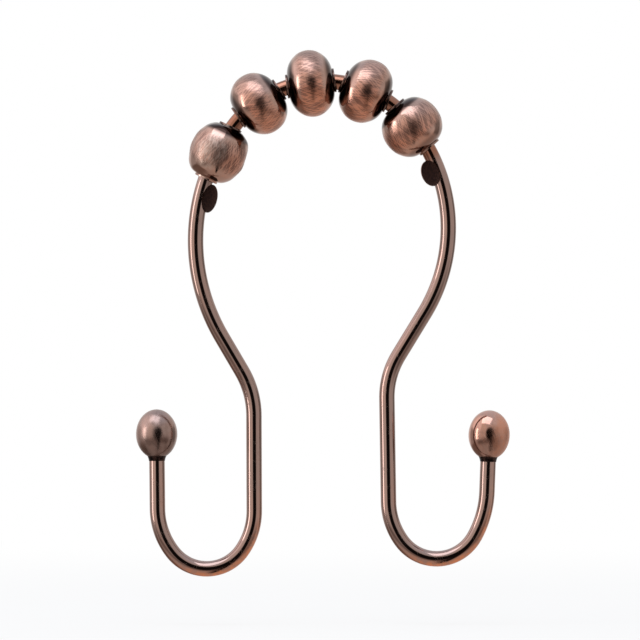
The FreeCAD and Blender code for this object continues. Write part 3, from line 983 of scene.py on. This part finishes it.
def brush_group():
    """Fine brush lines that run along a place's X, with a slant, put out as 0 to 1."""
    if "brush lines" in bpy.data.node_groups:
        return bpy.data.node_groups["brush lines"]
    nodes, given, result = new_group(
        "brush lines",
        [("Place", "vector"), ("Slant", "value"), ("Density", "value"), ("Length", "value")],
        [("Lines", "value")])
    # the lines wander a little about their slant
    wander = nodes.times(nodes.minus(nodes.noise(given["Place"], 0.35, 1.0), 0.5), 0.07)
    slant = nodes.times(nodes.split(given["Place"])[0], given["Slant"])
    turned = nodes.roll(given["Place"], "X_AXIS", Angle=nodes.plus(slant, wander))
    # noise that is drawn out along them
    x, y, z = nodes.split(turned)
    drawn_out = nodes.add("ShaderNodeCombineXYZ",
                          X=nodes.math("DIVIDE", x, given["Length"]),
                          Y=nodes.times(y, given["Density"]),
                          Z=nodes.times(z, given["Density"])).outputs[0]
    lines = nodes.ramp(nodes.noise(drawn_out, 1.0, 2.0, 0.55), 0.38, 0.64)
    nodes.feed(result["Lines"], lines)
    return nodes.tree


def scuff_group():
    """Sparse thin scratches, put out as a mask."""
    if "scuffs" in bpy.data.node_groups:
        return bpy.data.node_groups["scuffs"]
    nodes, given, result = new_group(
        "scuffs", [("Place", "vector"), ("Scale", "value"), ("Width", "value")],
        [("Mask", "value")])
    # a scratch is a thin band about the middle value of drawn out noise
    rolled = nodes.roll(given["Place"], "EULER_XYZ", Rotation=(0.5, 0.9, 0.35))
    swells = nodes.noise(nodes.stretch(rolled, (0.12, 1.0, 1.0)), given["Scale"], 1.0)
    from_middle = nodes.math("ABSOLUTE", nodes.minus(swells, 0.5))
    scratch = nodes.minus(1.0, nodes.ramp(from_middle, 0.0, given["Width"]))
    where = nodes.ramp(nodes.noise(given["Place"], 0.55, 1.0), 0.52, 0.66)
    nodes.feed(result["Mask"], nodes.times(scratch, where))
    return nodes.tree


def copper_group():
    """Antique copper plate: patina, copper brought out by wear, and dark hollows."""
    if "antique copper" in bpy.data.node_groups:
        return bpy.data.node_groups["antique copper"]
    nodes, given, result = new_group(
        "antique copper",
        [("Place", "vector"), ("Lines", "value"), ("Worn", "value"), ("Rubbed", "value"),
         ("Patina", "colour"), ("Copper", "colour"), ("Bright", "colour"), ("Umber", "colour"),
         ("Hollows", "value")],
        [("Color", "colour")])
    patches = nodes.noise(given["Place"], 0.22, 2.0, 0.5)
    spots = nodes.noise(given["Place"], 1.20, 2.0, 0.5)
    # copper comes out in patches and along the brush lines
    worn = nodes.times(given["Worn"], nodes.ramp(patches, 0.25, 0.70, 0.55, 1.15))
    in_lines = nodes.times(nodes.minus(given["Lines"], 0.5), nodes.times(worn, 0.8))
    colour = nodes.mix(nodes.plus(worn, in_lines), given["Patina"], given["Copper"])
    # rubbed places are bright orange
    rubbed = nodes.times(given["Rubbed"], nodes.ramp(spots, 0.25, 0.70, 0.35, 1.0))
    colour = nodes.mix(rubbed, colour, given["Bright"])
    # dark patina stays in small blotches
    hollow = nodes.times(nodes.ramp(spots, 0.30, 0.85), nodes.ramp(patches, 0.65, 0.30))
    hollow = nodes.times(hollow, given["Hollows"])
    nodes.feed(result["Color"], nodes.mix(hollow, colour, given["Umber"]))
    return nodes.tree


def new_material(name):
    """A material with an empty metal shader, and the tree to fill."""
    material = bpy.data.materials.new(name)
    material.use_nodes = True
    material.node_tree.nodes.clear()
    nodes = Tree(material.node_tree)
    shader = nodes.add("ShaderNodeBsdfPrincipled", Metallic=1.0)
    nodes.add("ShaderNodeOutputMaterial", Surface=shader.outputs[0])
    return material, nodes, shader


def opaque(colour):
    """A colour with full cover, as a shader socket takes it."""
    return (colour[0], colour[1], colour[2], 1.0)


def copper_inputs(colours):
    """The colour inputs that every copper finish shares."""
    return dict(Patina=opaque(colours.patina), Copper=opaque(colours.copper),
                Bright=opaque(colours.bright), Umber=opaque(colours.umber))


def polished_wire(colours):
    """Polished plated wire with faint draw lines along it, and the matte flats of its ears."""
    material, nodes, shader = new_material("polished copper wire")
    place, rubbed, pressed = nodes.own_place(), nodes.mask("rubbed"), nodes.mask("pressed")
    lines = nodes.group(brush_group(), Place=place, Slant=0.0, Density=2.6, Length=14.0)
    scuffs = nodes.group(scuff_group(), Place=place, Scale=2.6, Width=0.035)
    copper = dict(copper_inputs(colours), Patina=opaque(colours.drawn))
    plate = nodes.group(copper_group(), Place=place, Lines=lines, Worn=0.10, Rubbed=rubbed,
                        Hollows=0.10, **copper)
    # darker red brown under the beads, and dark and matte on the ears
    from_top = nodes.math("ABSOLUTE", nodes.split(place)[0])
    under_beads = nodes.ramp(from_top, DARKER_UP_TO, DARKER_FULLY, 0.0, 0.80)
    under_bead_dark = nodes.mix(0.30, opaque(colours.umber), opaque(colours.bright))
    pits = nodes.noise(place, 2.4, 3.0, 0.7)
    ear = nodes.mix(nodes.ramp(pits, 0.3, 0.75), opaque(colours.pressed), opaque(colours.umber))
    colour = nodes.mix(pressed, nodes.mix(under_beads, plate, under_bead_dark), ear)
    nodes.feed(shader.inputs["Base Color"], colour)
    # scratches and rubbing take the polish off
    rough = nodes.plus(0.075, nodes.times(scuffs, 0.20))
    rough = nodes.plus(rough, nodes.times(rubbed, 0.12))
    nodes.feed(shader.inputs["Roughness"], nodes.blend(pressed, rough, 0.5))
    # scratches are sunk, and draw lines show where the wire is rubbed
    height = nodes.plus(nodes.times(scuffs, -1.0), nodes.times(lines, nodes.times(rubbed, 0.6)))
    nodes.bump(shader, nodes.blend(pressed, height, pits), 0.5, 0.008 * MM)
    return material


def brushed_bead(name, colours):
    """Brushed copper plate of one roller bead, each bead brushed and worn in its own way."""
    brushed, worn = BEAD_LOOKS[name].brushed, BEAD_LOOKS[name].worn
    material, nodes, shader = new_material("brushed copper " + name[-1])
    place, belly, rubbed = nodes.own_place(), nodes.mask("belly"), nodes.mask("rubbed")
    fine = nodes.group(brush_group(), Place=place, Slant=0.05, Density=5.4, Length=4.4)
    cross = nodes.group(brush_group(), Place=place, Slant=-0.07, Density=3.8, Length=3.4)
    lines = nodes.times(nodes.plus(fine, cross), 0.5)
    scuffs = nodes.group(scuff_group(), Place=place, Scale=1.6, Width=0.04)
    # the plate is worn to copper on the belly and on the rubbed side
    amount = nodes.times(nodes.ramp(belly, 0.2, 1.0, 0.15, 1.0),
                         nodes.ramp(rubbed, 0.0, 1.0, 0.25 * worn, 1.1 * worn))
    bright = nodes.times(nodes.ramp(rubbed, 0.70, 1.0), 0.40 * worn)
    plate = nodes.group(copper_group(), Place=place, Lines=lines, Worn=amount, Rubbed=bright,
                        Hollows=0.20, **copper_inputs(colours))
    # dark patina between brush lines, painted shade on the necks, painted highlight on collar rims
    scored = nodes.times(nodes.times(nodes.ramp(lines, 0.60, 0.24), 0.54 * brushed), belly)
    colour = nodes.mix(scored, plate, opaque(colours.umber))
    # painted shade: the necks go near black
    colour = nodes.mix(nodes.mask("neck"), colour, NECK_SHADE_BLACK)
    # painted highlight: the collar rims show some paler patina
    colour = nodes.mix(nodes.times(nodes.mask("rim"), 0.30), colour, opaque(colours.patina))
    # brushing and scratches take the gloss off
    rough = nodes.plus(0.065, nodes.times(belly, 0.22 * brushed))
    rough = nodes.plus(rough, nodes.times(scuffs, 0.10))
    if name == DULL_BEAD:
        specks = nodes.noise(nodes.stretch(place, (0.5, 1.0, 1.0)), 2.2, 3.0, 0.65)
        dull = nodes.times(nodes.mask("dull"), nodes.ramp(specks, 0.38, 0.62, 0.30, 1.0))
        colour = nodes.mix(nodes.times(dull, 0.60), colour, DULL_SPOT)
        rough = nodes.plus(rough, nodes.times(dull, 0.16))
    nodes.feed(shader.inputs["Base Color"], colour)
    nodes.feed(shader.inputs["Roughness"], rough)
    height = nodes.minus(lines, nodes.times(scuffs, 0.7))
    height = nodes.times(height, nodes.ramp(belly, 0.0, 1.0))
    nodes.bump(shader, height, 0.7, 0.015 * brushed * MM)
    return material


def scuffed_ball(side, colours):
    """Plated end ball: the left one is duller, the right one brighter and more rubbed."""
    dull = 1.0 if side == "left" else 0.0
    sound = colours.drawn if side == "left" else colours.patina
    material, nodes, shader = new_material("scuffed copper " + side)
    place, facing = nodes.own_place(), nodes.mask("rubbed")
    lines = nodes.group(brush_group(), Place=place, Slant=0.12, Density=3.6 - 1.2 * dull,
                        Length=1.6)
    scuffs = nodes.group(scuff_group(), Place=place, Scale=2.0, Width=0.04)
    copper = dict(copper_inputs(colours), Patina=opaque(sound))
    plate = nodes.group(copper_group(), Place=place, Lines=lines, Worn=0.36 - 0.26 * dull,
                        Rubbed=nodes.times(facing, 0.40 - 0.37 * dull), Hollows=0.35, **copper)
    # painted shade on the side that faces down and to the front, uneven in patches
    uneven_shade = nodes.ramp(nodes.noise(place, 0.62, 3.0, 0.6), 0.44, 0.70)
    painted_shade = nodes.times(nodes.mask("painted_shade"), nodes.blend(uneven_shade, 0.55, 1.0))
    painted_shade = nodes.times(painted_shade, 0.50 + 0.22 * dull)
    nodes.feed(shader.inputs["Base Color"], nodes.mix(painted_shade, plate, opaque(colours.umber)))
    rough = nodes.blend(facing, 0.07 + 0.20 * dull, 0.36 - 0.20 * dull)
    rough = nodes.plus(rough, nodes.times(lines, 0.05))
    nodes.feed(shader.inputs["Roughness"], rough)
    # the right ball is brushed on its rubbed side alone
    height = nodes.times(lines, 0.5)
    if side == "right":
        height = nodes.times(height, nodes.times(facing, 4.0))
    nodes.bump(shader, nodes.minus(height, scuffs), 0.4, 0.010 * MM)
    return material


def joint_oxide_and_shade(colours):
    """Dark rough oxide on the fillets under the end balls, near black as painted shade there."""
    material, nodes, shader = new_material("dark joint")
    place = nodes.add("ShaderNodeTexCoord").outputs["Object"]
    grain = nodes.noise(place, 1400.0, 3.0, 0.6)
    colour = nodes.mix(nodes.ramp(grain, 0.35, 0.75), JOINT_SHADE_BLACK, opaque(colours.umber))
    nodes.feed(shader.inputs["Base Color"], colour)
    nodes.feed(shader.inputs["Roughness"], nodes.ramp(grain, 0.3, 0.7, 0.25, 0.5))
    nodes.bump(shader, grain, 0.6, 0.04 * MM)
    return material


# the studio

def add_camera():
    """The camera straight in front, with a long lens, so that the frame is FIELD_WIDTH wide."""
    data = bpy.data.cameras.new("camera")
    data.sensor_width = SENSOR_WIDTH
    data.lens = SENSOR_WIDTH * CAMERA_DISTANCE / FIELD_WIDTH
    data.clip_start = NEAREST_SEEN
    camera = bpy.data.objects.new("camera", data)
    camera.location = VIEW_MIDDLE + Vector((0.0, -CAMERA_DISTANCE, 0.0))
    camera.rotation_euler = (math.radians(90), 0.0, 0.0)
    bpy.context.collection.objects.link(camera)
    bpy.context.scene.camera = camera


def add_lamp(name, azimuth, elevation, distance, width, height, radiance, colour):
    """A soft box that faces the hook: azimuth 0 is in front, 90 to the right."""
    turn, rise = math.radians(azimuth), math.radians(elevation)
    away = Vector((math.sin(turn) * math.cos(rise), -math.cos(turn) * math.cos(rise),
                   math.sin(rise)))
    data = bpy.data.lights.new(name, "AREA")
    data.shape = "RECTANGLE"
    data.size, data.size_y = width, height
    data.energy = radiance * math.pi * width * height
    data.color = colour
    lamp = bpy.data.objects.new(name, data)
    lamp.location = VIEW_MIDDLE + away * distance
    lamp.rotation_euler = away.to_track_quat("Z", "Y").to_euler()
    bpy.context.collection.objects.link(lamp)


def add_lamps():
    """One strip of light at the left and a soft box above."""
    add_lamp("side strip", azimuth=-73, elevation=3, distance=0.60, width=0.13, height=0.36,
             radiance=3.8, colour=(1.0, 0.98, 0.97))
    add_lamp("overhead box", azimuth=-25, elevation=66, distance=0.70, width=0.62, height=0.48,
             radiance=2.55, colour=(0.80, 0.87, 0.98))


def box_mask(nodes, azimuth, elevation, low, high, soft):
    """1 inside a box of azimuth and elevation, in degrees, 0 outside, with soft edges."""
    mask = None
    for value, first, last in ((azimuth, low[0], high[0]), (elevation, low[1], high[1])):
        rising = nodes.ramp(value, first - soft, first + soft)
        falling = nodes.ramp(value, last - soft, last + soft, 1.0, 0.0)
        both = nodes.times(rising, falling)
        mask = both if mask is None else nodes.times(mask, both)
    return mask


def cone_mask(nodes, direction, towards, inner, outer):
    """1 within an inner angle of a direction, 0 past an outer one, in degrees."""
    node = nodes.add("ShaderNodeVectorMath", {"operation": "DOT_PRODUCT"})
    nodes.feed(node.inputs[0], direction)
    nodes.feed(node.inputs[1], Vector(towards).normalized())
    return nodes.ramp(node.outputs["Value"], math.cos(math.radians(outer)),
                      math.cos(math.radians(inner)))


def tent_colour(nodes):
    """The white tent round the hook, with the dark opening and the stand of a camera in front.

    The tent stands still in the world. Azimuth 0 is in front, 90 to the right.
    """
    direction = nodes.add("ShaderNodeTexCoord").outputs["Generated"]
    x, y, z = nodes.split(direction)
    azimuth = nodes.math("ARCTAN2", x, nodes.times(y, -1.0))
    azimuth = nodes.times(azimuth, math.degrees(1))
    elevation = nodes.times(nodes.math("ARCSINE", z), math.degrees(1))
    beside = nodes.math("ABSOLUTE", azimuth)
    right = nodes.ramp(x, -0.25, 0.25)
    opening = cone_mask(nodes, direction, (0.10, -1.0, 0.08), 19, 31)
    stand = box_mask(nodes, azimuth, elevation, (3.0, -72), (22.0, -6), 6.0)
    # each layer covers the ones before it
    layers = (
        (nodes.ramp(elevation, -4.0, -32.0), TENT_LOW),
        (nodes.ramp(elevation, 26.0, 56.0), TENT_HIGH),
        (cone_mask(nodes, direction, (-0.85, -0.05, 0.52), 12, 48), TENT_GLOW),
        (box_mask(nodes, azimuth, elevation, (-168, -56), (-88, -14), 9.0), TENT_SHADE),
        (box_mask(nodes, azimuth, elevation, (-52, -24), (-20, 44), 3.0), TENT_PANEL),
        (box_mask(nodes, beside, elevation, (97, -18), (132, 14), 5.0),
         nodes.mix(right, FLANK_LEFT, FLANK_RIGHT)),
        (box_mask(nodes, beside, elevation, (-75, -31), (75, -14), 11.0), TABLE_EDGE),
        (nodes.math("MAXIMUM", opening, stand), CAMERA_BLACK),
    )
    tent = nodes.mix(right, TENT_LEFT, TENT_RIGHT)
    for mask, colour in layers:
        tent = nodes.mix(mask, tent, colour)
    return tent


def add_world():
    """The tent for reflections and light; rays from the camera see plain white."""
    world = bpy.data.worlds.new("tent")
    world.use_nodes = True
    world.node_tree.nodes.clear()
    nodes = Tree(world.node_tree)
    rays = nodes.add("ShaderNodeLightPath")
    colour = nodes.mix(rays.outputs["Is Camera Ray"], tent_colour(nodes), WHITE)
    background = nodes.add("ShaderNodeBackground", Color=colour, Strength=1.0)
    nodes.add("ShaderNodeOutputWorld", Surface=background.outputs[0])
    bpy.context.scene.world = world


def floor_finish(colours):
    """Plain pale floor; rays from the camera see it near white, with a faint shadow."""
    material, nodes, shader = new_material("pale floor")
    shader.inputs["Metallic"].default_value = 0.0
    shader.inputs["Roughness"].default_value = 0.9
    shader.inputs["Specular IOR Level"].default_value = 0.0
    place = nodes.add("ShaderNodeTexCoord").outputs["Object"]
    grain = nodes.ramp(nodes.noise(place, 60.0, 2.0), 0.3, 0.7, 0.0, 0.04)
    nodes.feed(shader.inputs["Base Color"], nodes.mix(grain, opaque(colours.floor), FLOOR_GRAIN))
    # near the hook the floor shows its own colour and shadow, farther off it is plain white
    white = nodes.add("ShaderNodeEmission", Color=WHITE, Strength=1.0)
    away = nodes.add("ShaderNodeVectorMath", {"operation": "LENGTH"})
    nodes.feed(away.inputs[0], place)
    whiter = nodes.ramp(away.outputs["Value"], 0.10, 0.45, 0.78, 1.0)
    rays = nodes.add("ShaderNodeLightPath")
    both = nodes.add("ShaderNodeMixShader")
    nodes.feed(both.inputs[0], nodes.times(rays.outputs["Is Camera Ray"], whiter))
    nodes.feed(both.inputs[1], shader.outputs[0])
    nodes.feed(both.inputs[2], white.outputs[0])
    output = [node for node in nodes.tree.nodes if node.type == "OUTPUT_MATERIAL"][0]
    nodes.feed(output.inputs["Surface"], both.outputs[0])
    return material


def add_floor(colours):
    """The floor below the hook, which is unseen in reflections."""
    deselect_all()
    bpy.ops.mesh.primitive_plane_add(size=FLOOR_SPAN)
    floor = name_piece("floor")
    floor.matrix_world = Matrix.Translation((0.0, 0.0, FLOOR_LEVEL))
    apply_place(floor)
    floor.data.materials.append(floor_finish(colours))
    floor.visible_glossy = False


class HOOK_OT_stage(bpy.types.Operator):
    """Set up the floor, the tent, the lamps and the camera"""

    bl_idname = "hook.set_stage"
    bl_label = "Set the stage"

    def execute(self, context):
        add_floor(context.scene.hook_colours)
        add_world()
        add_lamps()
        add_camera()
        context.scene.view_settings.view_transform = "Standard"
        return {"FINISHED"}


class HOOK_PT_panel(bpy.types.Panel):
    """Lists the hook's pieces, sizes and colours in the sidebar"""

    bl_idname = "HOOK_PT_panel"
    bl_label = "Curtain Hook"
    bl_space_type = "VIEW_3D"
    bl_region_type = "UI"
    bl_category = "Hook"

    def draw(self, context):
        layout = self.layout
        for operator in (HOOK_OT_wire, HOOK_OT_beads, HOOK_OT_balls, HOOK_OT_stage):
            layout.operator(operator.bl_idname)
        for group in (context.scene.hook_sizes, context.scene.hook_colours):
            for name in group.__annotations__:
                layout.prop(group, name)


CLASSES = (HookSizes, HookColours, HOOK_OT_wire, HOOK_OT_beads, HOOK_OT_balls, HOOK_OT_stage,
           HOOK_PT_panel)


def register():
    """Register the classes and hang the sizes and colours on the scene."""
    for item in CLASSES:
        bpy.utils.register_class(item)
    bpy.types.Scene.hook_sizes = bpy.props.PointerProperty(type=HookSizes)
    bpy.types.Scene.hook_colours = bpy.props.PointerProperty(type=HookColours)


def unregister():
    """Take back what register has added."""
    del bpy.types.Scene.hook_colours
    del bpy.types.Scene.hook_sizes
    for item in reversed(CLASSES):
        bpy.utils.unregister_class(item)


def main():
    """Build the hook and its studio in order."""
    register()
    bpy.ops.hook.bend_wire()
    bpy.ops.hook.turn_beads()
    bpy.ops.hook.shape_balls()
    bpy.ops.hook.set_stage()


if __name__ == "__main__":
    main()
